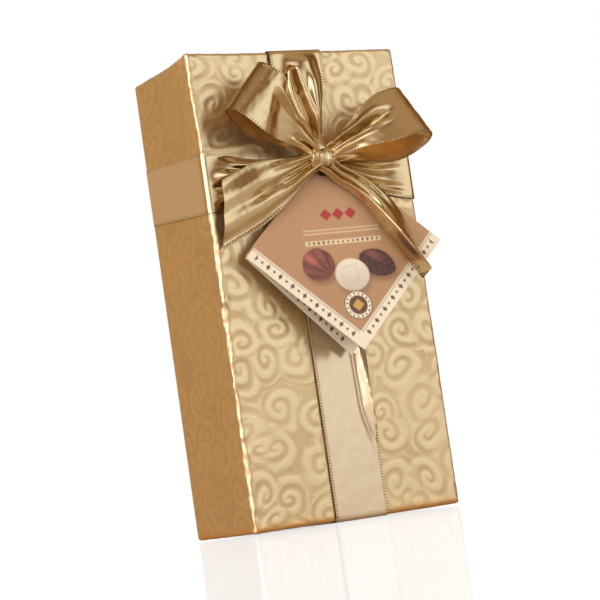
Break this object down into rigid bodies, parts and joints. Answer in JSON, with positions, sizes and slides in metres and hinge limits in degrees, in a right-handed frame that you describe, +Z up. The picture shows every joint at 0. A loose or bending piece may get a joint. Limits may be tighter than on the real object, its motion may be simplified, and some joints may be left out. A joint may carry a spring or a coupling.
{
  "type": "chocolate box",
  "caption": "Upright gift box of chocolates in embossed gold paper with a full-depth lift-off lid, tied with a gold ribbon bow and hung with a folded card tag.",
  "frame": {"origin": "on the standing face, under the middle of the box", "axes": "+Z up along the box's height, front with the bow towards -Y, +X to the right seen from the front"},
  "size_m": [0.1, 0.0873, 0.201],
  "materials": {
    "foil_paper": "embossed metallised gold paper",
    "base_paper": "plain metallised gold paper",
    "greyboard": "bare greyboard",
    "tray_film": "thermoformed gold-brown film",
    "divider_card": "plain card",
    "pad_paper": "quilted paper wadding",
    "milk_chocolate": "satin moulded chocolate",
    "dark_chocolate": "satin moulded chocolate",
    "white_chocolate": "satin moulded chocolate",
    "ribbon": "gold lame ribbon with dotted selvedge",
    "tag_card": "printed coated card"
  },
  "bodies": {
    "base": {"base_board": "greyboard", "base_paper": "base_paper", "lower_tray": "tray_film", "upper_tray": "tray_film", "layer_card": "divider_card", "shell_praline_lower_1": "milk_chocolate", "dome_praline_lower_1": "white_chocolate", "leaf_praline_lower_1": "dark_chocolate", "dome_praline_lower_2": "white_chocolate", "leaf_praline_lower_2": "dark_chocolate", "shell_praline_lower_2": "milk_chocolate", "leaf_praline_lower_3": "dark_chocolate", "shell_praline_lower_3": "milk_chocolate", "dome_praline_lower_3": "white_chocolate", "shell_praline_lower_4": "milk_chocolate", "dome_praline_lower_4": "white_chocolate", "leaf_praline_lower_4": "dark_chocolate", "dome_praline_lower_5": "white_chocolate", "leaf_praline_lower_5": "dark_chocolate", "shell_praline_lower_5": "milk_chocolate", "shell_praline_upper_1": "milk_chocolate", "dome_praline_upper_1": "white_chocolate", "leaf_praline_upper_1": "dark_chocolate", "dome_praline_upper_2": "white_chocolate", "leaf_praline_upper_2": "dark_chocolate", "shell_praline_upper_2": "milk_chocolate", "leaf_praline_upper_3": "dark_chocolate", "shell_praline_upper_3": "milk_chocolate", "dome_praline_upper_3": "white_chocolate", "shell_praline_upper_4": "milk_chocolate", "dome_praline_upper_4": "white_chocolate", "leaf_praline_upper_4": "dark_chocolate", "dome_praline_upper_5": "white_chocolate", "leaf_praline_upper_5": "dark_chocolate", "shell_praline_upper_5": "milk_chocolate"},
    "lid": {"lid_board": "greyboard", "lid_paper": "foil_paper", "lid_pad": "pad_paper", "ribbon_up": "ribbon", "ribbon_down": "ribbon", "ribbon_left": "ribbon", "ribbon_right": "ribbon", "bow_knot": "ribbon", "bow_loop_left": "ribbon", "bow_loop_right": "ribbon", "bow_tail_left": "ribbon"},
    "tail_right": {"bow_tail_right": "ribbon"},
    "tag": {"tag_back_leaf": "tag_card"},
    "tag_cover": {"tag_front_leaf": "tag_card"}
  },
  "joints": [
    {"name": "lid_lift", "type": "slide", "parent": "base", "child": "lid", "axis": [0, -1, 0], "range_m": [0, 0.08]},
    {"name": "tag_swing", "type": "hinge", "parent": "lid", "child": "tag", "pos_m": [0.0031, -0.034, 0.147], "axis": [0, -1, 0], "range_deg": [-3, 8]},
    {"name": "tag_open", "type": "hinge", "parent": "tag", "child": "tag_cover", "pos_m": [0.00559, -0.034, 0.15594], "axis": [-0.7193, 0, -0.6947], "range_deg": [-10, 40], "stiffness_Nm_per_rad": 0.002},
    {"name": "tail_lift", "type": "hinge", "parent": "lid", "child": "tail_right", "pos_m": [0.00559, -0.034, 0.15594], "axis": [-0.7193, 0, -0.6947], "range_deg": [-10, 40]}
  ],
  "couplings": [
    {"joint": "tail_lift", "follows": "tag_open", "ratio": 1}
  ]
}
